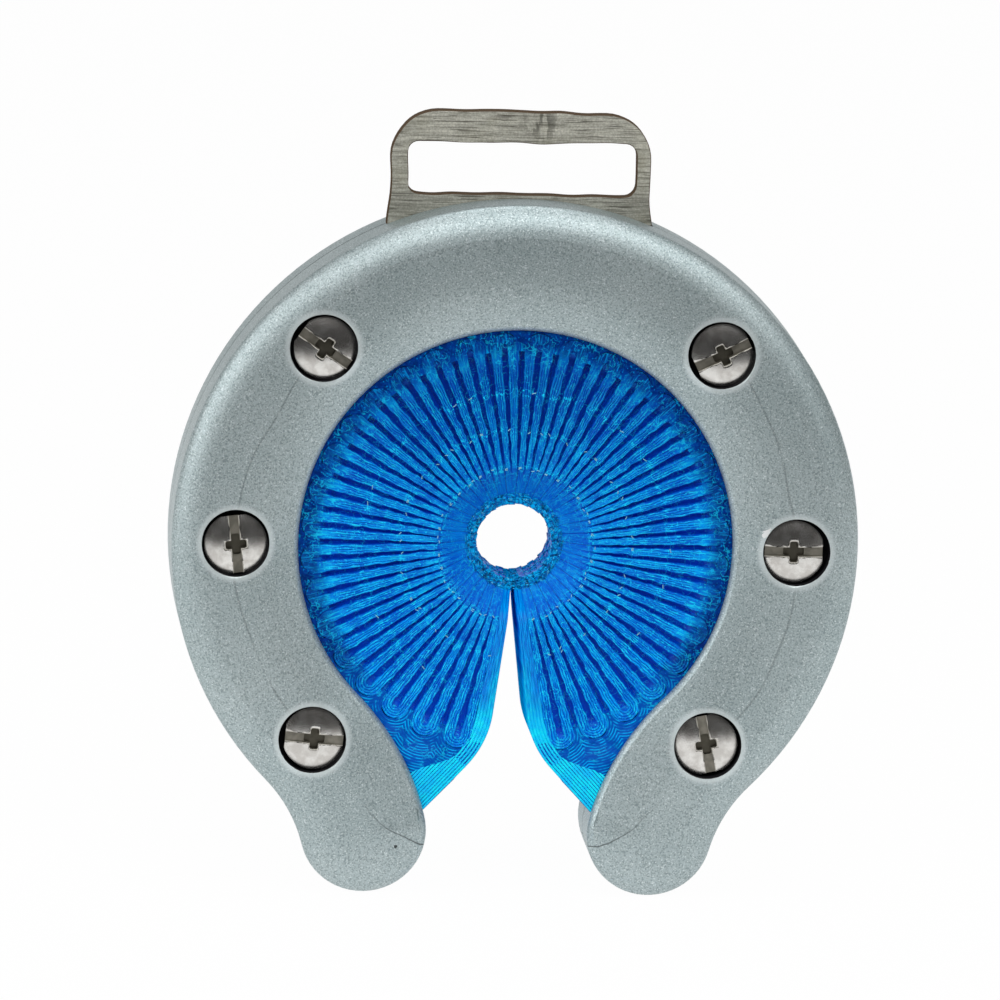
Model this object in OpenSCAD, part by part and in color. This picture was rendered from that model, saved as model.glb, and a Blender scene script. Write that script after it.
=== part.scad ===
// Rope washer: a hand-sized horseshoe that scrubs mud off a rope drawn through its elastic petals.
// Two moulded half shells hold a printed insert and a steel hanger plate, and six screws clamp them.
// The part is drawn lying flat, rope axis along Z and slot towards -Y, and is then stood upright.

/* [Body] */
// Radius of the bolt circle, which runs along the middle of the body's width
bolt_r = 40; // [38:0.5:46]
// Width of the body, seen from the front
body_w = 18; // [17:0.5:22]
// Thickness of one half shell
shell_t = 9; // [8.5:0.25:12]
// Rounding of the shells' edges
edge_round = 3.4; // [1:0.1:3.8]
// Radius of the outward curve of each leg
leg_r = 30; // [28:0.5:36]
// Sweep of the outward curve of each leg
leg_sweep = 30; // [24:0.5:31]
// Swelling of the lobe at each leg's end over half the body's width
lobe_swell = 0.15; // [0.1:0.05:0.6]
// Rounding of the lobes' edges
lobe_round = 3; // [1:0.1:3.3]

/* [Insert] */
// Thickness of the printed insert
insert_t = 13; // [10:0.5:13.5]
// Diameter of the hole that hugs the rope
rope_hole_d = 10.8; // [8:0.2:13]
// Number of petals on each side
petals_per_side = 17; // [13:1:18]
// Half of the angle left free for the rope slot
slot_half_angle = 10; // [9:0.5:13]
// Distance of the petals' roots from the window's edge
root_inset = 2.4; // [2.2:0.1:3.5]
// Gap between two petals at their roots
root_gap = 0.9; // [0.6:0.05:1.3]
// Gap between two petals at the rope hole
tip_gap = 0.46; // [0.42:0.01:0.5]
// Width of the slit inside a petal, at its root
slit_root_w = 1; // [0.6:0.05:1.3]
// Width of the slit inside a petal, at its inner end
slit_tip_w = 0.46; // [0.3:0.02:0.5]
// Distance from the rope hole's wall to the inner end of the slit
slit_inset = 3.8; // [3.4:0.1:6]
// Width of the funnel round the rope hole
funnel_w = 5.6; // [3:0.2:8]
// Thickness of a petal at the rope hole
throat_t = 7; // [1.5:0.1:8]
// Width of the rope slot at the rope hole
slot_tip_w = 0.4; // [0.3:0.05:0.8]
// Width of the rope slot at the petals' roots
slot_root_w = 5.8; // [4.6:0.2:6.6]
// Depth to which the insert reaches under the window's edge
pocket_d = 3.4; // [2.4:0.1:3.6]
// Height of the band's teeth between two roots
band_inset = 0.6; // [0.3:0.05:0.9]
// Angle of leg left solid beyond the insert's corner
leg_stop = 1; // [0.5:0.1:3]

/* [Hanger plate] */
// Thickness of the steel
plate_t = 2; // [1.5:0.1:3]
// Width of the neck
plate_w = 37; // [34:0.5:42]
// Height of the top edge above the rope axis
plate_top = 62; // [61:0.5:72]
// Radius of the top corners
plate_corner = 6.5; // [3:0.5:8]
// Width of the webbing slot
webbing_w = 32.6; // [26:0.2:33]
// Height of the webbing slot
webbing_h = 7.5; // [5:0.25:8]
// Radius of the webbing slot's corners
webbing_corner = 1.3; // [0.5:0.1:2.4]
// Width of the bar above the webbing slot
top_bar = 4.6; // [4:0.1:6]
// Width of the hidden arc that the upper screws hold
arc_w = 9.5; // [8.5:0.1:10]
// Radius of the fillet between the neck and the hidden arc
neck_fillet = 8; // [5:0.5:10]

/* [Screws] */
// Diameter of the screw heads and nut heads
head_d = 8.9; // [8.2:0.1:9.2]
// Thickness of the heads
head_t = 2.2; // [1.8:0.1:2.6]
// Depth of a head's face below the shell's face
head_sink = 1.1; // [0.6:0.1:1.6]
// Bevel of the heads' edges
head_bevel = 0.35; // [0.1:0.05:0.6]
// Outside diameter of the nuts' barrels
barrel_d = 5.6; // [5.2:0.1:6.2]
// Diameter of the screw thread
thread_d = 4; // [3:0.1:4.4]
// Width of the drive slot
drive_w = 1.3; // [0.8:0.1:1.6]
// Depth of the drive slot
drive_depth = 0.7; // [0.4:0.1:1]
// Length of the cross drive's arms, tip to tip
cross_l = 3.2; // [2.4:0.1:4]
// Width of the cross drive's arms
cross_w = 0.9; // [0.6:0.05:1.2]
// Depth of the cross drive
cross_depth = 1.3; // [0.8:0.1:1.5]

/* [Fits] */
// Gap round a screw head in its counterbore
head_gap = 0.35; // [0.2:0.05:0.45]
// Gap round the nuts' barrels, the thread and the plate
part_gap = 0.1; // [0.05:0.05:0.15]
// Gap round the insert in its pocket
insert_gap = 0.1; // [0.05:0.05:0.2]
// Running gap round a petal's root
root_clearance = 0.06; // [0.03:0.01:0.1]

/* [Hidden] */
$fn = 96;
// Angle from straight down at which each leg leaves the ring, at the lower screws
leg_start = 45;
// How far a cut runs past the face that it opens
past = 1;
// Radii of the window, of the insert's pocket, of the petals' roots, of the rope hole and of the band
window_r = bolt_r - body_w / 2;
pocket_r = window_r + pocket_d;
root_r = window_r - root_inset;
hole_r = rope_hole_d / 2;
band_r = root_r + band_inset;
// Angle from petal to petal, the petals' widths, and where the slit in each one starts
pitch = (180 - slot_half_angle) / petals_per_side;
root_w = 2 * root_r * sin(pitch / 2) - root_gap;
tip_w = 2 * hole_r * sin(pitch / 2) - tip_gap;
slit_start = hole_r + slit_inset;
// Holes for a head and for a barrel, and the length of shank and barrel from a head's face
head_hole_d = head_d + 2 * head_gap;
barrel_hole_d = barrel_d + 2 * part_gap;
shank_l = 2 * (shell_t - head_sink) - head_t - part_gap;
// Centre of the right leg's curve, the lobe at its end, and the insert's corners in its pocket
leg_center = (bolt_r + leg_r) * from_down(leg_start);
leg_end_angle = 90 + leg_start + leg_sweep;
lobe_center = leg_center + leg_r * along(leg_end_angle);
lobe_r = body_w / 2 + lobe_swell;
corner_angle = leg_end_angle - leg_stop;
corner_in = leg_center + (leg_r + body_w / 2) * along(corner_angle);
corner_out = leg_center + (leg_r + body_w / 2 - pocket_d) * along(corner_angle);
// Half the rope slot's width where the lips meet the band
slot_corner_x = slot_tip_w / 2 + (slot_root_w - slot_tip_w) / 2 * (band_r - hole_r) / (root_r - hole_r);

SIDES = ["right", "left"];
// Places of the screws: name, side, angle from straight down, turn of the drive slot
SCREWS = [
    ["upper_left", "left", 135, -41],
    ["upper_right", "right", 135, 33],
    ["middle_left", "left", 90, 84],
    ["middle_right", "right", 90, 2],
    ["lower_left", "left", 45, -3],
    ["lower_right", "right", 45, 78]
];

function along(angle) = [cos(angle), sin(angle)];
function from_down(angle) = [sin(angle), -cos(angle)];
function petal_name(side, i) = str("petal_", side, i < 10 ? "_0" : "_", i);
function petal_angle(i) = slot_half_angle + pitch * (i - 0.5);
function screw_place(s) = bolt_r * from_down(s[2]);

// Stands the flat drawing upright, with its front face towards -Y.
module upright() {
    rotate([90, 0, 0]) children();
}

// Draws the children on the right, or mirrored on the left.
module on_side(side) {
    mirror([side == "left" ? 1 : 0, 0, 0]) children();
}

// Draws the children at the place of every screw.
module at_screws() {
    for (s = SCREWS) on_side(s[1]) translate(screw_place(s)) children();
}

// A square corner less its quarter round: taken off a profile, it rounds that corner by r.
module corner_cut(r) {
    difference() {
        translate([-r, -r]) square(r + past);
        translate([-r, -r]) circle(r);
    }
}

// Section of one half shell: the outer edge on +X, the window's edge on -X, the mid-plane at 0.
module shell_section() {
    difference() {
        translate([-body_w / 2, 0]) square([body_w, shell_t]);
        for (side = SIDES) on_side(side) translate([body_w / 2, shell_t]) corner_cut(edge_round);
    }
}

// Section of the pocket that the insert lies in.
module pocket_section() {
    translate([-body_w / 2 - past, -past]) square([pocket_d + past, insert_t / 2 + insert_gap + past]);
}

// Sweeps a section along the ring, from one leg over the top to the other.
module along_ring() {
    rotate(leg_start - 90)
        rotate_extrude(angle = 360 - 2 * leg_start)
            translate([bolt_r, 0]) children();
}

// Sweeps a section along the outward curve of the right leg.
module along_leg(sweep) {
    rotate(leg_start - 90) translate([bolt_r + leg_r, 0])
        rotate(180)
            rotate_extrude(angle = sweep)
                translate([leg_r, 0]) mirror([1, 0]) children();
}

// The round lobe at the end of the right leg, a little wider than the leg.
module lobe() {
    translate(lobe_center)
        rotate_extrude()
            difference() {
                square([lobe_r, shell_t]);
                translate([lobe_r, shell_t]) corner_cut(lobe_round);
            }
}

// One half shell before it is cut, lying on the mid-plane.
module shell_blank() {
    along_ring() shell_section();
    for (side = SIDES) on_side(side) {
        along_leg(leg_sweep) shell_section();
        lobe();
    }
}

// One half shell: pocket for the insert, recess for the plate, counterbores and barrel holes.
module shell() {
    difference() {
        shell_blank();
        along_ring() pocket_section();
        for (side = SIDES) on_side(side) along_leg(leg_sweep - leg_stop) pocket_section();
        translate([0, 0, -past]) plate_blank(plate_t / 2 + past, part_gap);
        at_screws() {
            translate([0, 0, -past]) cylinder(d = barrel_hole_d, h = shell_t + 2 * past);
            translate([0, 0, shell_t - head_sink - head_t]) cylinder(d = head_hole_d, h = shell_t);
        }
    }
}

module front_shell() {
    color("#a3aaac") upright() shell();
}

module rear_shell() {
    color("#9aa2a4") upright() mirror([0, 0, 1]) shell();
}

// A rectangle with round corners, by its lowest left corner and its size.
module rounded_rectangle(corner, size, r) {
    translate(corner) difference() {
        square(size);
        for (x = [0, 1]) for (y = [0, 1])
            translate([x * size[0], y * size[1]])
                mirror([1 - x, 0]) mirror([0, 1 - y]) corner_cut(r);
    }
}

// Concave fillet between the neck's right side and the hidden arc.
module neck_fillet_outline(grow) {
    arc_r = bolt_r + arc_w / 2;
    center_x = plate_w / 2 + neck_fillet;
    center = [center_x, sqrt(pow(arc_r + neck_fillet, 2) - center_x * center_x)];
    difference() {
        polygon([[plate_w / 2, center[1]], center, center * arc_r / (arc_r + neck_fillet), [0, bolt_r]]);
        translate(center) circle(neck_fillet - grow);
    }
}

// The hidden arc of the hanger plate, from one upper screw to the other.
module plate_arc_outline(grow) {
    arc_end = SCREWS[0][2];
    difference() {
        circle(bolt_r + arc_w / 2 + grow);
        circle(bolt_r - arc_w / 2 - grow);
        polygon([[0, 0], 2 * bolt_r * from_down(arc_end), 2 * bolt_r * [1, -1],
            2 * bolt_r * [-1, -1], 2 * bolt_r * from_down(-arc_end)]);
    }
}

// The hanger plate without its holes, standing on 0 and grown all round by a gap.
module plate_blank(height, grow) {
    neck_foot = bolt_r - arc_w / 4;
    linear_extrude(height) plate_arc_outline(grow);
    for (side = SIDES) on_side(side) {
        translate(screw_place(SCREWS[0])) cylinder(r = arc_w / 2 + grow, h = height);
        linear_extrude(height) neck_fillet_outline(grow);
    }
    linear_extrude(height) rounded_rectangle([-plate_w / 2 - grow, neck_foot],
        [plate_w + 2 * grow, plate_top + grow - neck_foot], plate_corner + grow);
}

module hanger_plate() {
    slot_foot = plate_top - top_bar - webbing_h;
    color("#8c877a") upright() translate([0, 0, -plate_t / 2]) difference() {
        plate_blank(plate_t, 0);
        translate([0, 0, -past]) linear_extrude(plate_t + 2 * past)
            rounded_rectangle([-webbing_w / 2, slot_foot], [webbing_w, webbing_h], webbing_corner);
        for (s = SCREWS) if (s[2] > 90) on_side(s[1]) translate(screw_place(s))
            translate([0, 0, -past]) cylinder(d = barrel_hole_d, h = plate_t + 2 * past);
    }
}

// Corner gusset of the insert on the right: it fills the leg's curve below the lowest petal.
module gusset_outline() {
    joined = leg_start + pitch / 4;
    difference() {
        polygon([[slot_corner_x, -band_r], corner_in, corner_out, (pocket_r - insert_gap) * from_down(joined),
            root_r * from_down(joined), root_r * from_down(petal_angle(1))]);
        circle(band_r);
        translate(leg_center) circle(leg_r + body_w / 2 - pocket_d + insert_gap);
    }
}

// The fixed part of the insert: an outer band in the shells' pocket, with a round seat for every petal.
module insert_band() {
    color("#0a78d6") upright() translate([0, 0, -insert_t / 2]) linear_extrude(insert_t) difference() {
        union() {
            difference() {
                circle(pocket_r - insert_gap);
                circle(band_r);
                polygon([[0, 0], 2 * pocket_r * from_down(leg_start), 2 * pocket_r * from_down(-leg_start)]);
            }
            for (side = SIDES) on_side(side) gusset_outline();
        }
        for (side = SIDES) on_side(side) for (i = [1 : petals_per_side])
            translate(root_r * from_down(petal_angle(i))) circle(root_w / 2 + root_clearance);
    }
}

// Plan of a long taper along +X that ends in a half round at the petals' roots.
module taper_outline(start, start_w, end_w) {
    translate([root_r, 0]) circle(end_w / 2);
    polygon([[start, -start_w / 2], [root_r, -end_w / 2], [root_r, end_w / 2], [start, start_w / 2]]);
}

// The thick lip on the slot side of the lowest petal on the right, in the part's own plan.
module lip_outline() {
    intersection() {
        polygon([[slot_tip_w / 2, -hole_r], [slot_corner_x, -band_r], root_r * from_down(petal_angle(1)),
            slit_start * from_down(petal_angle(1)), hole_r * from_down(petal_angle(1))]);
        circle(band_r - root_clearance);
    }
}

// Side view of a petal, along +X and up: full thickness, thinned by a funnel at the rope hole.
module petal_side() {
    polygon([[hole_r - past, -throat_t / 2], [hole_r, -throat_t / 2], [hole_r + funnel_w, -insert_t / 2],
        [window_r + past, -insert_t / 2], [window_r + past, insert_t / 2], [hole_r + funnel_w, insert_t / 2],
        [hole_r, throat_t / 2], [hole_r - past, throat_t / 2]]);
}

// One petal: two bars that meet in a round root, with a slit between them. The lowest one has the slot's lip.
module petal(side, i) {
    turn = petal_angle(i) - 90;
    color("#0f86e0") upright() on_side(side) rotate(turn) intersection() {
        translate([0, 0, -insert_t / 2]) linear_extrude(insert_t) difference() {
            union() {
                taper_outline(hole_r, tip_w, root_w);
                if (i == 1) rotate(-turn) lip_outline();
            }
            taper_outline(slit_start, slit_tip_w, slit_root_w);
        }
        rotate([90, 0, 0]) translate([0, 0, -root_r / 2]) linear_extrude(root_r) petal_side();
    }
}

// The recess of the combined slot and cross drive, below the head's face at 0.
module drive_recess() {
    translate([-head_d, -drive_w / 2, -drive_depth]) cube([2 * head_d, drive_w, head_d]);
    for (turn = [0, 90]) rotate(turn)
        translate([-cross_l / 2, -cross_w / 2, -cross_depth]) cube([cross_l, cross_w, head_d]);
}

// A bevelled flat head that hangs below 0.
module head() {
    rotate_extrude() polygon([[0, -head_t], [head_d / 2, -head_t], [head_d / 2, -head_bevel],
        [head_d / 2 - head_bevel, 0], [0, 0]]);
}

// One screw, its head sunk in the front shell and its thread in the nut's barrel.
module screw(s) {
    color("#8f8a84") upright() on_side(s[1]) translate(screw_place(s))
        translate([0, 0, shell_t - head_sink]) {
            difference() {
                head();
                rotate(s[1] == "left" ? -s[3] : s[3]) drive_recess();
            }
            translate([0, 0, -shank_l]) cylinder(d = thread_d, h = shank_l - (head_t + cross_depth) / 2);
        }
}

// One barrel nut, its head sunk in the rear shell and its barrel reaching the screw's head.
module nut(s) {
    color("#7f7a74") upright() on_side(s[1]) translate(screw_place(s))
        mirror([0, 0, 1]) translate([0, 0, shell_t - head_sink]) difference() {
            union() {
                head();
                translate([0, 0, -shank_l]) cylinder(d = barrel_d, h = shank_l - head_t / 2);
            }
            translate([0, 0, -shank_l - past])
                cylinder(d = thread_d + 2 * part_gap, h = shank_l + past - head_t);
            drive_recess();
        }
}

front_shell();
rear_shell();
hanger_plate();
insert_band();
for (side = SIDES) for (i = [1 : petals_per_side])
    petal(side, i);
for (s = SCREWS) screw(s);
for (s = SCREWS) nut(s);
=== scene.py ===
import math
import random

import bmesh
import bpy
from mathutils import Matrix, Vector, noise


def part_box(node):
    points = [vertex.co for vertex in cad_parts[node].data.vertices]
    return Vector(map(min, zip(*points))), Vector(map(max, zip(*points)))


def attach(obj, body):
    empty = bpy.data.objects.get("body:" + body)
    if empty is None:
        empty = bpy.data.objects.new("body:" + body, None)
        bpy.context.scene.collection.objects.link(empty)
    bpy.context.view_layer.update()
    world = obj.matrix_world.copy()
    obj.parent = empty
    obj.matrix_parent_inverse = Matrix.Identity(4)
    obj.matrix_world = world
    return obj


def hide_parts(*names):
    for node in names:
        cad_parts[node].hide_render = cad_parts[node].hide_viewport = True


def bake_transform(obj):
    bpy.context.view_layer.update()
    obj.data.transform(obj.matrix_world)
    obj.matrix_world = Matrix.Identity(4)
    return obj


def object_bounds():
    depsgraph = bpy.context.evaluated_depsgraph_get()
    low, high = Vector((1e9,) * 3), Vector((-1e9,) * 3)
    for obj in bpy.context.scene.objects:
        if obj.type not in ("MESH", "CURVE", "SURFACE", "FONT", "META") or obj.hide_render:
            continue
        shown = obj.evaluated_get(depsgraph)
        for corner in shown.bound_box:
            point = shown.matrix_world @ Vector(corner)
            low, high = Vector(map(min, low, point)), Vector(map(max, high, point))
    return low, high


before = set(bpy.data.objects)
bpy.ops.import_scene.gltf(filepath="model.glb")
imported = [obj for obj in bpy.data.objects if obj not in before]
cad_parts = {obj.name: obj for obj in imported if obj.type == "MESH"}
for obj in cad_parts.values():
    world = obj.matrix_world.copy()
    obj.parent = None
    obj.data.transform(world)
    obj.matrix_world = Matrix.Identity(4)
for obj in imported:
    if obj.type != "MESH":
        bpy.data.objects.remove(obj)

cad_low, cad_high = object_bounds()
bpy.ops.object.select_all(action="DESELECT")


# Half shells
# Two horseshoes moulded in grey plastic with a metallic fleck, the rear one a mirror image with a fuller
# rounding. Each has a pocket for the insert, a recess for the plate and six counterbores for the screws.
mm = 0.001
weld_gap = 0.001 * mm
shell_low, shell_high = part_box("front_shell")
shell_t = -shell_low.y
bolt_r = sum(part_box("screw_middle_right"), Vector()).x / 2
half_w = shell_high.x - bolt_r
leg_start = math.radians(45)
leg_r = 30 * mm
leg_sweep = math.radians(30)
outer_round = 4.4 * mm
front_squash = 0.34
rear_squash = 1.0
window_round = 0.8 * mm
window_squash = 0.8
parting_bevel = 0.3 * mm
front_crown = 1.3 * mm
window_crown = 2.0 * mm
crown_start = 0.4
lobe_reach = 1.1 * half_w
pocket_d = 3.4 * mm
pocket_depth = 6.6 * mm
head_hole_r = 4.8 * mm
head_hole_depth = 3.3 * mm
head_hole_lip = 0.35 * mm
barrel_hole_r = 2.9 * mm
fit_gap = 0.1 * mm
knit_center = (7.8 * mm, -28.1 * mm, 0)
knit_r = 16 * mm
knit_w = 0.16 * mm
seam_w = 0.22 * mm
hole_lip_highlight_r = 5.9 * mm
chip_place = (35.7 * mm, -shell_t, 2.7 * mm)
chip_r = 0.75 * mm
speck_place = (-15.9 * mm, -shell_t, -43.7 * mm)
speck_r = 0.4 * mm
plate_low, plate_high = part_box("hanger_plate")
plate_t = plate_high.y - plate_low.y
plate_half_w = 18.5 * mm
arc_half_w = 4.75 * mm
arc_turn = math.radians(51.5)
SCREW_PLACES = ["upper_left", "upper_right", "middle_left", "middle_right", "lower_left", "lower_right"]


def from_down(angle, radius):
    """Point of the front view at an angle from straight down, counted towards the right."""
    return Vector((radius * math.sin(angle), 0, -radius * math.cos(angle)))


leg_center = from_down(leg_start, bolt_r + leg_r)
leg_end_out = Matrix.Rotation(-leg_sweep, 3, "Y") @ from_down(leg_start, 1)
lobe_center = leg_center - leg_end_out * leg_r
lobe_ahead = Matrix.Rotation(math.pi / 2, 3, "Y") @ leg_end_out


def screw_center(place):
    """Middle of a screw, on its axis."""
    low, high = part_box("screw_" + place)
    return (low + high) / 2


def name_piece(name):
    """Names the primitive that was just added."""
    piece = bpy.context.object
    piece.name = name
    piece.data.name = name
    return piece


def close_piece():
    """Goes back from edit mode."""
    bpy.ops.object.mode_set(mode="OBJECT")


def pick(kind, test):
    """In edit mode, selects the verts, edges or faces that pass the test, and nothing else."""
    data = bpy.context.object.data
    bpy.ops.mesh.select_mode(type={"verts": "VERT", "edges": "EDGE", "faces": "FACE"}[kind])
    bpy.ops.mesh.select_all(action="DESELECT")
    mesh = bmesh.from_edit_mesh(data)
    for item in getattr(mesh, kind):
        if test(item):
            item.select_set(True)
    mesh.select_flush_mode()
    bmesh.update_edit_mesh(data)


def pick_all():
    """In edit mode, selects everything."""
    bpy.ops.mesh.select_all(action="SELECT")


def extrude(depth):
    """In edit mode, pulls what is selected along Y."""
    bpy.ops.mesh.extrude_region_move(TRANSFORM_OT_translate={"value": (0, depth, 0)})


def widen(share):
    """In edit mode, scales what is selected away from the Y axis."""
    bpy.ops.transform.resize(value=(share, 1, share), center_override=(0, 0, 0))


def merge_points():
    """In edit mode, merges points that lie on each other and turns all faces outwards."""
    pick_all()
    bpy.ops.mesh.remove_doubles(threshold=weld_gap)
    bpy.ops.mesh.normals_make_consistent(inside=False)


def make_active(piece):
    """Makes one object the only selected and the active one."""
    bpy.ops.object.select_all(action="DESELECT")
    piece.select_set(True)
    bpy.context.view_layer.objects.active = piece


def edit_piece(piece):
    """Opens an object in edit mode."""
    make_active(piece)
    bpy.ops.object.mode_set(mode="EDIT")


def copied(name, model):
    """A copy of an object, with a mesh of its own."""
    copy = bpy.data.objects.new(name, model.data.copy())
    bpy.context.collection.objects.link(copy)
    return copy


def flip(piece, axis):
    """Turns a piece into its mirror image along an axis."""
    piece.data.transform(Matrix.Scale(-1, 4, axis))
    piece.data.flip_normals()


def join_pieces(first, others):
    """Joins other objects into the first."""
    make_active(first)
    for other in others:
        other.select_set(True)
    bpy.ops.object.join()


def apply_modifier(piece, kind, **settings):
    """Adds a modifier with its settings and applies it."""
    make_active(piece)
    modifier = piece.modifiers.new(kind.lower(), kind)
    for name, value in settings.items():
        setattr(modifier, name, value)
    bpy.ops.object.modifier_apply(modifier=modifier.name)


def shade_smooth(piece, degrees):
    """Shades a piece smooth, apart from edges that are sharper than an angle."""
    make_active(piece)
    bpy.ops.object.shade_smooth_by_angle(angle=math.radians(degrees))


def cut_away(piece, cutter):
    """Takes the cutter's shape out of a piece and deletes the cutter."""
    apply_modifier(piece, "BOOLEAN", operation="DIFFERENCE", solver="EXACT", object=cutter)
    bpy.data.objects.remove(cutter)


def body_strip(name, inner, outer, y, depth, ring_turn, leg_turn=0.0, lobe=False, steps=54, rows=2):
    """Solid that follows the body's middle line from the top, between two offsets from it, on both sides."""
    bpy.ops.mesh.primitive_grid_add(x_subdivisions=1, y_subdivisions=rows, size=2)
    strip = name_piece(name)
    edit_piece(strip)
    pick("verts", lambda v: v.co.x < 0)
    bpy.ops.mesh.delete(type="VERT")
    close_piece()
    for v in strip.data.vertices:
        v.co = (0, y, bolt_r + (inner + outer) / 2 + v.co.y * (outer - inner) / 2)
    edit_piece(strip)
    pick_all()
    bpy.ops.mesh.spin(steps=steps, angle=ring_turn, center=(0, 0, 0), axis=(0, -1, 0))
    if leg_turn:
        pick("verts", lambda v: abs(math.atan2(v.co.x, -v.co.z) - leg_start) < 0.0001)
        bpy.ops.mesh.spin(steps=12, angle=-leg_turn, center=leg_center, axis=(0, -1, 0))
    if lobe:
        near = 0.01 * mm
        pick("verts", lambda v: abs((v.co - lobe_center).dot(lobe_ahead)) < near
             and -near < (v.co - lobe_center).dot(leg_end_out) < outer + near)
        bpy.ops.mesh.spin(steps=28, angle=math.pi, center=lobe_center, axis=(0, -1, 0))
    merge_points()
    close_piece()
    apply_modifier(strip, "MIRROR", merge_threshold=weld_gap)
    edit_piece(strip)
    pick_all()
    extrude(depth)
    merge_points()
    close_piece()
    return strip


def body_offset(place):
    """Distance of a place from the body's middle line in the front view, below 0 on the window's side."""
    point = Vector((abs(place.x), 0, place.z))
    from_lobe = point - lobe_center
    if from_lobe.dot(lobe_ahead) > 0 and from_lobe.length < lobe_reach:
        return from_lobe.length
    on_leg = math.atan2(point.x, -point.z) < leg_start
    return leg_r - (point - leg_center).length if on_leg else point.length - bolt_r


def edge_round(place):
    """Rounding of the front edge: wide outside, narrow at the window, and blending round the lobe."""
    from_lobe = Vector((abs(place.x), 0, place.z)) - lobe_center
    if from_lobe.dot(lobe_ahead) > 0 and from_lobe.length < lobe_reach:
        turned = from_lobe.angle(leg_end_out) / math.pi
        return outer_round + (window_round - outer_round) * turned * turned * (3 - 2 * turned)
    return window_round if body_offset(place) < 0 else outer_round


def round_front_edges(piece, outer_squash):
    """Rounds the front edges by their bevel weights, crowns the face and breaks the parting edge."""
    edit_piece(piece)
    outline = lambda e, y: e.calc_face_angle(0) > 1 and all(abs(v.co.y - y) < 0.01 * mm for v in e.verts)
    pick("edges", lambda e: outline(e, 0))
    bpy.ops.mesh.bevel(offset=parting_bevel, segments=2, affect="EDGES")
    mesh = bmesh.from_edit_mesh(piece.data)
    weight = mesh.edges.layers.float.new("bevel_weight_edge")
    for edge in mesh.edges:
        if outline(edge, -shell_t):
            edge[weight] = edge_round((edge.verts[0].co + edge.verts[1].co) / 2) / outer_round
    bmesh.update_edit_mesh(piece.data)
    close_piece()
    apply_modifier(piece, "BEVEL", width=outer_round, segments=9, limit_method="WEIGHT",
                   use_clamp_overlap=False)
    for v in piece.data.vertices:
        round_here = edge_round(v.co)
        sunk = v.co.y + shell_t
        if sunk < 1.02 * round_here:
            outer_share = (round_here - window_round) / (outer_round - window_round)
            v.co.y -= sunk * (1 - window_squash - (outer_squash - window_squash) * outer_share)
        raised = max(0, -v.co.y / shell_t - crown_start) / (1 - crown_start)
        sideways = body_offset(v.co) / half_w
        v.co.y += (window_crown if sideways < 0 else front_crown) * raised * abs(sideways) ** 3


def hole_cutter(name, radius, floor, front, lip=0.0):
    """Six round cutters at the screws, from a floor to a front plane, that flare out in a rounded lip."""
    bpy.ops.mesh.primitive_cylinder_add(vertices=72, radius=radius, depth=1 * mm,
                                        rotation=(math.pi / 2, 0.02, 0))
    bpy.ops.object.transform_apply(location=False, rotation=True, scale=False)
    cutter = name_piece(name)
    for v in cutter.data.vertices:
        v.co.y = floor if v.co.y > 0 else front + lip
    edit_piece(cutter)
    pick("faces", lambda f: f.normal.y < -0.9)
    wide = radius
    steps = 5 if lip else 0
    flare = math.radians(65)
    for i in range(1, steps + 1):
        turn = flare * i / steps
        down = lip * (math.sin(turn) - math.sin(turn - flare / steps))
        grown = radius + lip * (1 - math.cos(turn))
        extrude(-down)
        widen(grown / wide)
        wide = grown
    beyond = 2 * mm
    extrude(-beyond)
    if lip:
        grown = wide + beyond * math.tan(flare)
        widen(grown / wide)
    merge_points()
    close_piece()
    copies = []
    for place in SCREW_PLACES:
        center = screw_center(place)
        copies.append(copied(name, cutter))
        copies[-1].data.transform(Matrix.Translation((center.x, 0, center.z)))
    bpy.data.objects.remove(cutter)
    join_pieces(copies[0], copies[1:])
    return copies[0]


def box_cutter(name, low, high):
    """A plain box between two corners."""
    bpy.ops.mesh.primitive_cube_add(size=1)
    cutter = name_piece(name)
    for v in cutter.data.vertices:
        v.co = [a + (b - a) * (c + 0.5) for a, b, c in zip(low, high, v.co)]
    return cutter


def moulding(name, outer_squash):
    """A half shell that faces the front, with its recess, counterbores, barrel holes and pocket."""
    shell = body_strip(name, -half_w, half_w, -shell_t, shell_t, math.pi - leg_start, leg_sweep,
                       lobe=True, rows=4)
    round_front_edges(shell, outer_squash)
    recess = body_strip("arc_recess", -arc_half_w - fit_gap, arc_half_w + fit_gap, 1 * mm,
                        -1 * mm - plate_t / 2 - fit_gap, arc_turn + math.radians(0.5), steps=31)
    neck = box_cutter("neck_recess", (-plate_half_w - fit_gap, -plate_t / 2 - fit_gap, bolt_r),
                      (plate_half_w + fit_gap, 1 * mm, plate_high.z))
    apply_modifier(recess, "BOOLEAN", operation="UNION", solver="EXACT", object=neck)
    bpy.data.objects.remove(neck)
    cut_away(shell, recess)
    floor = -shell_t + head_hole_depth
    cut_away(shell, hole_cutter("counterbores", head_hole_r, floor, -shell_t, head_hole_lip))
    cut_away(shell, hole_cutter("barrel_holes", barrel_hole_r, 1 * mm, -shell_t + head_hole_depth / 2))
    cut_away(shell, body_strip("pocket", -half_w - 1 * mm, -half_w + pocket_d, 1 * mm, -1 * mm - pocket_depth,
                               math.pi - leg_start, leg_sweep - math.radians(1), steps=61))
    return shell


front_shell = moulding("front_shell_moulding", front_squash)
rear_shell = moulding("rear_shell_moulding", rear_squash)
flip(rear_shell, (0, 1, 0))


def node(tree, kind, inputs=None, **settings):
    """Adds a shader node, sets its settings, and fills or links its inputs."""
    made = tree.nodes.new("ShaderNode" + kind)
    for name, value in settings.items():
        setattr(made, name, value)
    for name, value in (inputs or {}).items():
        if isinstance(value, bpy.types.NodeSocket):
            tree.links.new(value, made.inputs[name])
        else:
            made.inputs[name].default_value = value
    return made


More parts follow.
